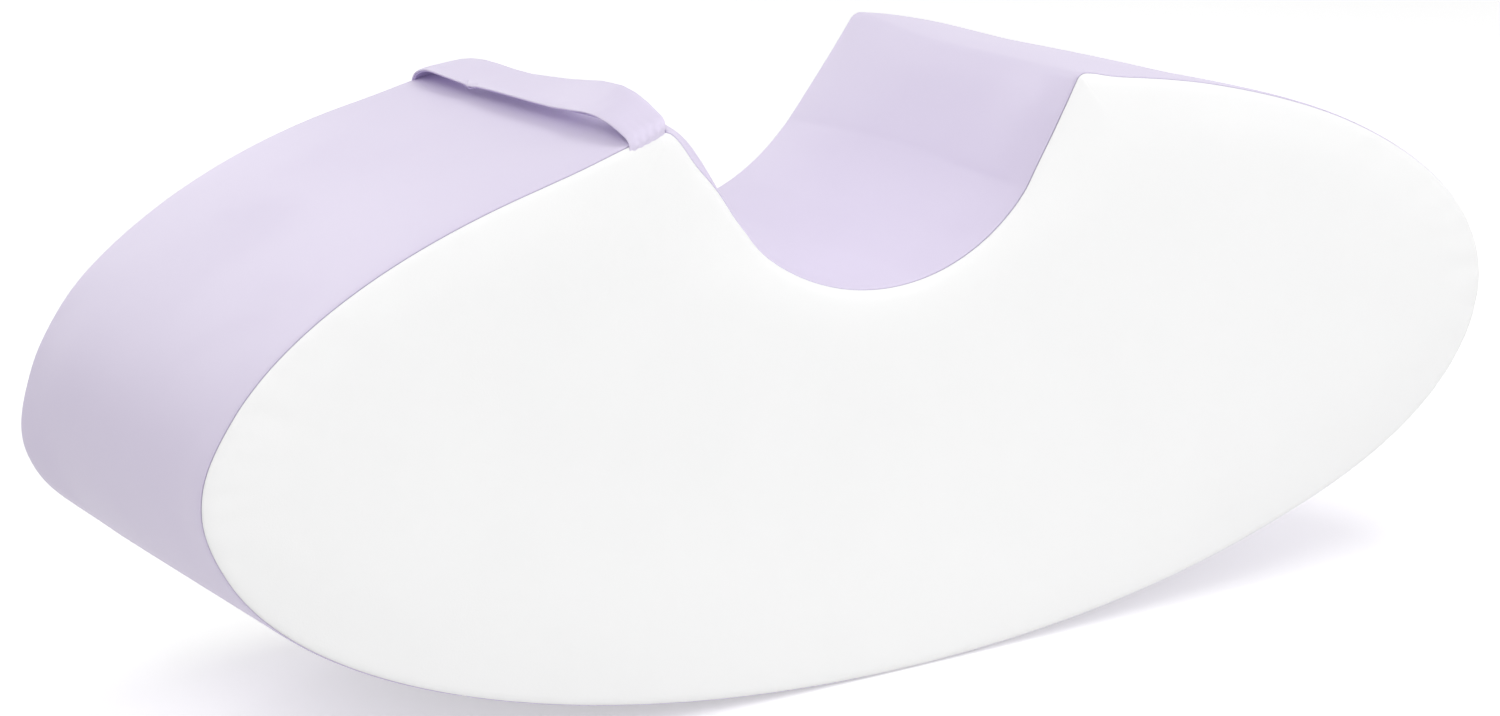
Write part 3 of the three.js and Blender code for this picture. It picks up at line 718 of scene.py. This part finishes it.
for row in rows:
    row.select_set(True)
bpy.context.view_layer.objects.active = rows[0]
bpy.ops.object.join()
stitches = bpy.context.object
stitches.name = "zip_stitches"
describe(stitches)

# %% [markdown]
# ## The carrying strap
# The strap is a flat tube of the same cloth, sewn into both side seams. It stands in a low
# bow over the band, and is twisted, so that its near edge lies lower in front. Between its
# narrow sewn ends it lies flatter and wider. Its course is a list of places read from the
# photograph: steps across the block, height over the band, twist and width.

# %% Course of the strap
strap_from_corner = 0.0121
strap_x = left_tip.x - strap_from_corner
band_share = math.sqrt(1 - (strap_x / half_length) ** 2)
band_height = taller * (centre_z + half_height * band_share)
band_slope = math.atan(half_height * -strap_x / (half_length**2 * band_share))
strap_step = 0.75
strap_course = [
    # across the block and over the band in mm, twist in degrees, width in mm
    (-145.4, -10, 8, 25.6), (-146, -3, 9, 25.6), (-147.6, 1, 12, 25.8), (-149.2, 5, 14, 26),
    (-148.2, 9, 13, 26.4), (-144, 12, 10, 27), (-135, 15, 6, 28.4), (-125, 18, 6, 29.5),
    (-110, 20.8, 12, 29.5), (-95, 21.6, 18, 29.5), (-70, 20.7, 19, 29.5), (-50, 19, 16.6, 29.5),
    (-25, 17.7, 11, 29.5), (0, 16.8, 7, 29.5), (25, 15.9, 3.5, 29.5), (50, 15.4, 4.5, 29.5),
    (70, 15.5, 6.5, 29.5), (90, 15.9, 5, 29.5), (110, 15.6, 0, 29.5), (120, 14.7, -3, 29),
    (130, 12.7, -4, 28), (139, 9.7, -3, 27), (145, 5.6, -1, 26), (147, 1, 0, 25.6),
    (145.6, -12, 0, 25.6),
]


def even_course(places, step, rounds):
    """Points at even steps along the course, with its bends eased."""
    places = np.array(places, dtype=float)
    along = np.concatenate(([0], np.cumsum(np.linalg.norm(np.diff(places[:, :2], axis=0), axis=1))))
    wanted = np.linspace(0, along[-1], int(along[-1] / step) + 1)
    course = np.stack([np.interp(wanted, along, column) for column in places.T], axis=1)
    for _ in range(rounds):
        course[1:-1] = (course[:-2] + 2 * course[1:-1] + course[2:]) / 4
    return course


course = even_course(strap_course, strap_step, rounds=10)
print("strap:", len(course), "points,", round(strap_step * (len(course) - 1)), "mm long")

# %% [markdown]
# A grid is laid along the course, with small marks of use and sewing in its surface. Cloth
# that is gathered into a seam puckers, so the front end has fine folds that run out of the
# seam. The near edge has a small tuck towards the back, and gapes a little near the front.
# Solidify and Bevel then turn each layer into cloth with soft edges.

# %% Layers of the strap
def bump_at(values, place, reach):
    """A smooth hump, 1 at its place and 0 beyond its reach."""
    return np.clip(1 - ((values - place) / reach) ** 2, 0, 1) ** 2


def near_line(y, u, start, end):
    """Distance of points from a short line on the strap, in millimetres."""
    start, way = np.array(start), np.subtract(end, start)
    share = np.clip(((y - start[0]) * way[0] + (u - start[1]) * way[1]) / (way @ way), 0, 1)
    return np.hypot(y - start[0] - share * way[0], u - start[1] - share * way[1])


strap_columns = 36
tuck_at, tuck_reach = 61, 10
gape_at, gape_reach = -94, 26
fold_pitch, fold_height, fold_fade = 5.2, 0.25, 5
crease_depth, crease_width = 0.8, 0.6
crease_middle, crease_ends = (60, -15), ((64, -12), (48, -13))


def lay_strap(name, narrower, thickness, below, curl, tuck, gape, folds):
    """One layer of the strap: a grid on its course, made uneven, then given its thickness."""
    bpy.ops.object.select_all(action="DESELECT")
    bpy.ops.mesh.primitive_grid_add(
        x_subdivisions=strap_columns, y_subdivisions=len(course) - 1, size=2
    )
    layer = bpy.context.object
    layer.name = name
    grid = mesh_points(layer)
    row = np.rint((grid[:, 1] + 1) / 2 * (len(course) - 1)).astype(int)
    middle = np.stack([np.zeros(len(course)), course[:, 0], course[:, 1]], axis=1)
    forward = np.gradient(middle, axis=0)
    forward /= np.linalg.norm(forward, axis=1)[:, None]
    lean = np.radians(course[:, 2]) + band_slope
    across = np.stack([np.cos(lean), np.zeros(len(course)), np.sin(lean)], axis=1)
    up = np.cross(across, forward)
    up /= np.linalg.norm(up, axis=1)[:, None]
    share, y, height = grid[:, 0], course[row, 0], course[row, 1]
    u = share * (course[row, 3] - narrower) / 2
    near_edge = np.clip(-share, 0, 1) ** 3
    tucked, gaping = bump_at(y, tuck_at, tuck_reach), bump_at(y, gape_at, gape_reach)
    rise = -below - curl * share**6 - near_edge * (tuck * tucked - gape * gaping)
    fading = np.exp(-np.clip(height - 4, 0, None) / fold_fade)
    end_folds = fading * (y < 0) * np.clip(height / 4, 0, 1)
    wave = np.sin(2 * math.pi * u / fold_pitch + 0.8 * np.sin(height))
    rise += folds * end_folds * wave * fold_height
    crease = np.minimum(*(near_line(y, u, end, crease_middle) for end in crease_ends))
    rise -= folds * crease_depth * np.exp(-((crease / crease_width) ** 2))
    place = middle[row] + across[row] * u[:, None] + up[row] * rise[:, None]
    place = place / 1000 + (strap_x, 0, band_height)
    layer.data.vertices.foreach_set("co", place.ravel())
    layer.data.update()
    cloth = layer.modifiers.new("Cloth", "SOLIDIFY")
    cloth.thickness = thickness
    cloth.offset = -1
    edges = layer.modifiers.new("Edges", "BEVEL")
    edges.width = thickness * 0.42
    edges.segments = 3
    edges.limit_method = "ANGLE"
    edges.angle_limit = math.radians(60)
    apply_modifiers(layer)
    bpy.ops.object.shade_smooth_by_angle(angle=math.radians(60))
    describe(layer)
    return layer


lay_strap(
    "carrying_strap",
    narrower=0, thickness=0.0012, below=0, curl=0.9, tuck=0.8, gape=0.9, folds=1,
)
strap_lining = lay_strap(
    "carrying_strap_lining",
    narrower=1.6, thickness=0.0010, below=1.3, curl=0.6, tuck=2.6, gape=-0.6, folds=0,
)

# %% [markdown]
# ## Bodies and slots
# Every new piece says which CAD body it moves with, which solids it stands for, and which
# of the record's finishes it has.

# %% What each piece stands for
stands_for = {
    "front_side_cover": ("front_side_panel", "white_leather"),
    "back_side_cover": ("back_side_panel", "white_leather"),
    "base_cover": ("base_panel", "lavender_leather"),
    "seat_and_right_end_cover": ("seat_and_right_end_band", "lavender_leather"),
    "left_end_cover": ("left_end_band", "lavender_leather"),
    "foam_block": ("foam_core", "foam"),
    "carrying_strap": ("handle_strap", "lavender_leather"),
    "carrying_strap_lining": ("handle_strap_lining", "lavender_leather"),
}
for name, (node, finish) in stands_for.items():
    piece = bpy.data.objects[name]
    place_in_mesh(piece)
    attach(piece, "cover")
    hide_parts(node)
for piece in (hem, stitches):
    place_in_mesh(piece)
    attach(piece, "cover")
print(len(stands_for) + 2, "pieces ride on the cover")

# %% [markdown]
# ## Tools for materials
# A material is a small net of nodes. An effect that several materials share becomes a node
# group with named inputs and outputs, so that each material can place it with its own
# values. These helpers add a node, a group or a material, and turn a colour's usual numbers
# from 0 to 255 into linear light.

# %% Helpers for materials
def linear(channel):
    """A colour number from 0 to 255, as linear light."""
    share = channel / 255
    return share / 12.92 if channel <= 10 else ((share + 0.055) / 1.055) ** 2.4


def srgb(*channels):
    return tuple(linear(c) for c in channels) + (1,)


def add_node(tree, kind, place, **settings):
    node = tree.nodes.new(kind)
    node.location = place
    for key, value in settings.items():
        if key in node.inputs:
            node.inputs[key].default_value = value
        else:
            setattr(node, key, value)
    return node


def calculate(tree, operation, place, *values):
    """A Math node whose inputs are numbers or the outputs of other nodes."""
    node = add_node(tree, "ShaderNodeMath", place, operation=operation)
    for socket, value in zip(node.inputs, values):
        if isinstance(value, (int, float)):
            socket.default_value = value
        else:
            tree.links.new(value, socket)
    return node.outputs[0]


def new_group(name, inputs, outputs):
    """A node group, with the sockets that lead into it and out of it."""
    group = bpy.data.node_groups.new(name, "ShaderNodeTree")
    for title, kind, value in inputs:
        socket = group.interface.new_socket(title, in_out="INPUT", socket_type="NodeSocket" + kind)
        if value is not None:
            socket.default_value = value
    for title in outputs:
        group.interface.new_socket(title, in_out="OUTPUT", socket_type="NodeSocketFloat")
    entry = add_node(group, "NodeGroupInput", (-1100, 0))
    end = add_node(group, "NodeGroupOutput", (600, 0))
    return group, entry.outputs, end.inputs


def new_material(name):
    """A material whose patterns are fixed to the piece by its Object coordinates."""
    material = bpy.data.materials.new(name)
    material.use_nodes = True
    tree = material.node_tree
    place = add_node(tree, "ShaderNodeTexCoord", (-1100, 0)).outputs["Object"]
    return material, tree, tree.nodes["Principled BSDF"], place


def place_group(tree, group, spot, place, **values):
    node = add_node(tree, "ShaderNodeGroup", spot, node_tree=group)
    tree.links.new(place, node.inputs["Place"])
    for title, value in values.items():
        node.inputs[title.replace("_", " ")].default_value = value
    return node.outputs


def mix_colours(tree, spot, mask, first, second):
    """A colour between two others; each is a colour or the output of a node."""
    node = add_node(tree, "ShaderNodeMix", spot, data_type="RGBA")
    tree.links.new(mask, node.inputs["Factor"])
    for index, colour in ((6, first), (7, second)):
        if isinstance(colour, tuple):
            node.inputs[index].default_value = colour
        else:
            tree.links.new(colour, node.inputs[index])
    return node.outputs[2]


def gloss_between(tree, shader, mask, smooth, rough, spot=(-350, -120)):
    node = add_node(tree, "ShaderNodeMapRange", spot)
    node.inputs["To Min"].default_value, node.inputs["To Max"].default_value = smooth, rough
    tree.links.new(mask, node.inputs["Value"])
    tree.links.new(node.outputs["Result"], shader.inputs["Roughness"])


def relief_from(tree, shader, height, strength, depth, spot=(-350, -400)):
    node = add_node(tree, "ShaderNodeBump", spot, Strength=strength, Distance=depth)
    tree.links.new(height, node.inputs["Height"])
    tree.links.new(node.outputs["Normal"], shader.inputs["Normal"])


print("material helpers ready")

# %% [markdown]
# ## Three shared effects
# The grain of the faux leather is pressed into its coat: tiny cells for the pebbles, a finer
# noise for their unevenness, and a wide soft cloud by which colour and gloss vary. Handling
# leaves faint dull patches on everything. Woven threads go over and under each other, which
# two crossed sine waves show; their colour is painted darker where they dip, as painted
# shade, and the zip's tapes and the sewing thread both use them.

# %% Grain, handling and weave groups
grain, given, result = new_group(
    "Leather grain",
    [("Place", "Vector", None), ("Pebble size", "Float", 0.0009), ("Unevenness", "Float", 0.35)],
    ["Height", "Cloud"],
)
link = grain.links.new
per_metre = calculate(grain, "DIVIDE", (-850, -120), 1, given["Pebble size"])
pebbles = add_node(grain, "ShaderNodeTexVoronoi", (-450, 160), feature="SMOOTH_F1", Smoothness=0.6)
fine = add_node(grain, "ShaderNodeTexNoise", (-450, -120), Detail=3)
cloud = add_node(grain, "ShaderNodeTexNoise", (-450, -380), Scale=14, Detail=3)
for texture in (pebbles, fine, cloud):
    link(given["Place"], texture.inputs["Vector"])
for texture in (pebbles, fine):
    link(per_metre, texture.inputs["Scale"])
uneven = fine.outputs["Fac"], given["Unevenness"], pebbles.outputs["Distance"]
link(calculate(grain, "MULTIPLY_ADD", (-100, 60), *uneven), result["Height"])
link(cloud.outputs["Fac"], result["Cloud"])

handling, given, result = new_group(
    "Handling marks",
    [("Place", "Vector", None), ("Patch size", "Float", 0.05), ("Amount", "Float", 0.5)],
    ["Mask"],
)
link = handling.links.new
patches = add_node(
    handling, "ShaderNodeTexNoise", (-450, 0), Detail=5, Roughness=0.62, Distortion=0.6
)
link(given["Place"], patches.inputs["Vector"])
link(calculate(handling, "DIVIDE", (-850, -120), 1, given["Patch size"]), patches.inputs["Scale"])
rubbed = add_node(handling, "ShaderNodeMapRange", (-200, 0), interpolation_type="SMOOTHSTEP")
rubbed.inputs["From Min"].default_value, rubbed.inputs["From Max"].default_value = 0.5, 0.75
link(patches.outputs["Fac"], rubbed.inputs["Value"])
rubbed = rubbed.outputs["Result"]
link(calculate(handling, "MULTIPLY", (100, 0), rubbed, given["Amount"]), result["Mask"])

weave, given, result = new_group(
    "Woven threads",
    [("Place", "Vector", None), ("Thread size", "Float", 0.0004)],
    ["Height", "Shade"],
)
link = weave.links.new
turns = calculate(weave, "DIVIDE", (-900, -160), math.pi, given["Thread size"])
split = add_node(weave, "ShaderNodeSeparateXYZ", (-900, 60))
link(given["Place"], split.inputs[0])
waves = []
for axis, spot in (("X", 160), ("Z", -60)):
    angle = calculate(weave, "MULTIPLY", (-700, spot), split.outputs[axis], turns)
    waves.append(calculate(weave, "SINE", (-500, spot), angle))
product = calculate(weave, "MULTIPLY", (-400, 60), *waves)
crossing = calculate(weave, "MULTIPLY_ADD", (-300, 60), product, 0.5, 0.5)
link(crossing, result["Height"])
lint = add_node(weave, "ShaderNodeTexNoise", (-500, -300), Scale=900, Detail=2)
link(given["Place"], lint.inputs["Vector"])
# The Shade output is lower where the threads dip: painted shade, mixed with lint of random tone.
link(calculate(weave, "MULTIPLY", (0, -100), crossing, lint.outputs["Fac"]), result["Shade"])
print("groups:", ", ".join(f"{g.name} ({len(g.nodes)} nodes)" for g in (grain, handling, weave)))

# %% [markdown]
# ## Faux leather
# The cloth is a knitted backing with a thin coat of polyurethane and a satin gloss. The
# material mixes two close shades by the cloud, is painted darker in the seams as painted
# shade, and is a little duller where it is handled.

# %% Faux leather materials
def faux_leather(name, light_shade, dark_shade, painted_shade_at_seam):
    material, tree, shader, place = new_material(name)
    surface = place_group(tree, grain, (-850, 0), place)
    marks = place_group(tree, handling, (-850, -250), place, Patch_size=0.09, Amount=0.5)
    # The attribute "seam" paints the colour darker along each panel's border: painted shade in the
    # seams.
    seam = add_node(tree, "ShaderNodeAttribute", (-700, 400), attribute_name="seam")
    cloth = mix_colours(tree, (-350, 150), surface["Cloud"], dark_shade, light_shade)
    colour = mix_colours(tree, (-150, 250), seam.outputs["Fac"], cloth, painted_shade_at_seam)
    tree.links.new(colour, shader.inputs["Base Color"])
    gloss_between(tree, shader, marks["Mask"], smooth=0.44, rough=0.54)
    relief_from(tree, shader, surface["Height"], strength=0.16, depth=0.0002)
    shader.inputs["Specular IOR Level"].default_value = 0.35
    return material


# Colours of the painted shade in the seams of the white and the lavender leather.
white_painted_shade_at_seam, lavender_painted_shade_at_seam = srgb(178, 175, 186), srgb(184, 175, 202)
white_leather = faux_leather(
    "White faux leather", srgb(250, 250, 250), srgb(247, 247, 247), white_painted_shade_at_seam
)
lavender_leather = faux_leather(
    "Lavender faux leather", srgb(227, 218, 240), srgb(224, 215, 238), lavender_painted_shade_at_seam
)
# The lining is a darker, more violet copy of the lavender leather: painted shade, whose bounced
# light also makes the shade under the strap violet.
lining_painted_shade_leather = faux_leather(
    "Darker lavender lining, painted shade", srgb(206, 192, 230), srgb(200, 186, 226), lavender_painted_shade_at_seam
)
print("faux leather in white and lavender")

# %% [markdown]
# ## Foam, tape, thread, plastic and metal
# The foam has open pores, cut through by the wire, and is painted darker in them as painted
# shade. The zip has woven tapes, moulded teeth, and a slider, tab and stops of nickel-plated
# metal, which is duller where it is gripped.

# %% Foam and zip materials
foam_material, tree, shader, place = new_material("Cut foam")
pores = add_node(tree, "ShaderNodeTexVoronoi", (-700, 100), Scale=620)
tree.links.new(place, pores.inputs["Vector"])
from_pore = pores.outputs["Distance"]
# Darker towards the middle of each pore: painted shade in the hollows.
pore_painted_shade = mix_colours(tree, (-350, 150), from_pore, srgb(214, 204, 172), srgb(244, 238, 218))
tree.links.new(pore_painted_shade, shader.inputs["Base Color"])
gloss_between(tree, shader, from_pore, smooth=0.85, rough=0.95)
relief_from(tree, shader, from_pore, strength=0.6, depth=0.0008)


def woven(name, light_shade, dark_shade, thread_size, depth):
    material, tree, shader, place = new_material(name)
    threads = place_group(tree, weave, (-850, 0), place, Thread_size=thread_size)
    # The tape and the thread are painted darker where the threads dip, as shade between them.
    colour = mix_colours(tree, (-350, 150), threads["Shade"], dark_shade, light_shade)
    tree.links.new(colour, shader.inputs["Base Color"])
    gloss_between(tree, shader, threads["Shade"], smooth=0.9, rough=0.75)
    relief_from(tree, shader, threads["Height"], strength=0.7, depth=depth)
    shader.inputs["Sheen Weight"].default_value = 0.2
    return material


def moulded(name, light_shade, dark_shade, smooth, rough, metallic):
    material, tree, shader, place = new_material(name)
    marks = place_group(tree, handling, (-850, -100), place, Patch_size=0.004, Amount=0.8)
    skin = add_node(tree, "ShaderNodeTexNoise", (-850, -400), Scale=2600, Detail=2)
    tree.links.new(place, skin.inputs["Vector"])
    colour = mix_colours(tree, (-350, 150), marks["Mask"], light_shade, dark_shade)
    tree.links.new(colour, shader.inputs["Base Color"])
    gloss_between(tree, shader, marks["Mask"], smooth, rough)
    relief_from(tree, shader, skin.outputs["Fac"], strength=0.12, depth=0.0001)
    shader.inputs["Metallic"].default_value = metallic
    return material


tape_material = woven(
    "Woven zip tape", srgb(248, 248, 246), srgb(226, 226, 224), thread_size=0.0005, depth=0.00012
)
thread_material = woven(
    "Sewing thread", srgb(250, 250, 248), srgb(232, 232, 230), thread_size=0.0003, depth=0.00008
)
tooth_material = moulded(
    "Moulded zip teeth", srgb(247, 247, 245), srgb(236, 236, 233),
    smooth=0.32, rough=0.46, metallic=0,
)
nickel = moulded(
    "Nickel plate", srgb(202, 202, 199), srgb(170, 168, 164), smooth=0.22, rough=0.40, metallic=1
)
print("materials:", len(bpy.data.materials))

# %% [markdown]
# Each new piece now gets its material, and so does each solid of the zip, which keeps the
# shape that it has in the CAD model.

# %% Materials on the pieces
finish_materials = {
    "white_leather": white_leather,
    "lavender_leather": lavender_leather,
    "foam": foam_material,
}
piece_materials = {name: finish_materials[finish] for name, (node, finish) in stands_for.items()}
piece_materials[hem.name] = white_leather
piece_materials[stitches.name] = thread_material
# The lining gets the darker copy of the lavender, as painted shade.
piece_materials[strap_lining.name] = lining_painted_shade_leather
for name, material in piece_materials.items():
    bpy.data.objects[name].data.materials.clear()
    bpy.data.objects[name].data.materials.append(material)

zip_materials = {
    tape_material: ("zip_tape_upper", "zip_tape_lower"),
    tooth_material: ("zip_teeth_upper", "zip_teeth_lower"),
    nickel: (
        "zip_top_stop_upper", "zip_top_stop_lower", "zip_bottom_stop", "zip_slider", "zip_pull_tab",
    ),
}
for material, nodes in zip_materials.items():
    for node in nodes:
        for slot in bpy.data.objects[node].material_slots:
            slot.material = material
solid_count = sum(len(nodes) for nodes in zip_materials.values())
print("materials on", len(piece_materials), "new pieces and", solid_count, "solids")

# %% [markdown]
# ## Light and floor
# The photograph was lit evenly and softly, on pure white. The world gives a third of the
# light. Large lamps in front, above and behind give most of the rest, a smaller one draws
# the edge of the shadow under the strap, and a weak one lifts the shade of the left end.
# The floor is white, and adds a little light of its own for the camera, so that only its
# shadow shows.

# %% World, lamps and floor
world = bpy.data.worlds.new("Studio")
bpy.context.scene.world = world
world.use_nodes = True
sky = world.node_tree
backdrop = sky.nodes["Background"]
backdrop.inputs["Color"].default_value = 1, 1, 1, 1


def seen_directly(tree, spot):
    """1 for rays that see the background themselves: camera, glossy and transmission rays."""
    x, y = spot
    rays = add_node(tree, "ShaderNodeLightPath", spot).outputs
    first = calculate(tree, "MAXIMUM", (x + 200, y), rays["Is Camera Ray"], rays["Is Glossy Ray"])
    return calculate(tree, "MAXIMUM", (x + 400, y), first, rays["Is Transmission Ray"])


world_level = 0.36
strength = add_node(sky, "ShaderNodeMapRange", (-200, 0))
strength.inputs["To Min"].default_value, strength.inputs["To Max"].default_value = world_level, 1
sky.links.new(seen_directly(sky, (-800, 0)), strength.inputs["Value"])
sky.links.new(strength.outputs["Result"], backdrop.inputs["Strength"])

lamp_aim = Vector((0, 0, 0.15))
lamps = (
    # name, place, side in metres, power in watts
    ("Front lamp", (1.7, -2.9, 1.2), 2.0, 34),
    ("Key lamp", (-1.6, -1.75, 2.3), 1.6, 28),
    ("Small lamp", (1.13, -0.27, 2.58), 0.7, 12),
    ("Top lamp", (0, 0, 2.8), 2.2, 11),
    ("Back lamp", (-0.4, 3.2, 1.4), 2.0, 19),
    ("End lamp", (-3.2, 0.6, 0.7), 1.6, 3),
)
for name, place, size, power in lamps:
    turned = (lamp_aim - Vector(place)).to_track_quat("-Z", "Y").to_euler()
    bpy.ops.object.light_add(type="AREA", location=place, rotation=turned)
    lamp = bpy.context.object
    lamp.name = name
    lamp.data.size = size
    lamp.data.energy = power

bpy.ops.object.select_all(action="DESELECT")
bpy.ops.mesh.primitive_circle_add(vertices=96, radius=9, fill_type="NGON", location=(0, 0, -0.0006))
floor = bpy.context.object
floor.name = "studio_floor"
place_in_mesh(floor)
floor_material, tree, shader, place = new_material("White floor")
shader.inputs["Base Color"].default_value = srgb(236, 236, 236)
shader.inputs["Roughness"].default_value = 0.9
shader.inputs["Specular IOR Level"].default_value = 0.1
shader.inputs["Emission Color"].default_value = 1, 1, 1, 1
own_light = calculate(tree, "MULTIPLY", (-200, -300), seen_directly(tree, (-900, -300)), 0.45)
tree.links.new(own_light, shader.inputs["Emission Strength"])
floor.data.materials.append(floor_material)
bpy.context.scene.view_settings.view_transform = "Standard"
print("lamps, world and floor ready")
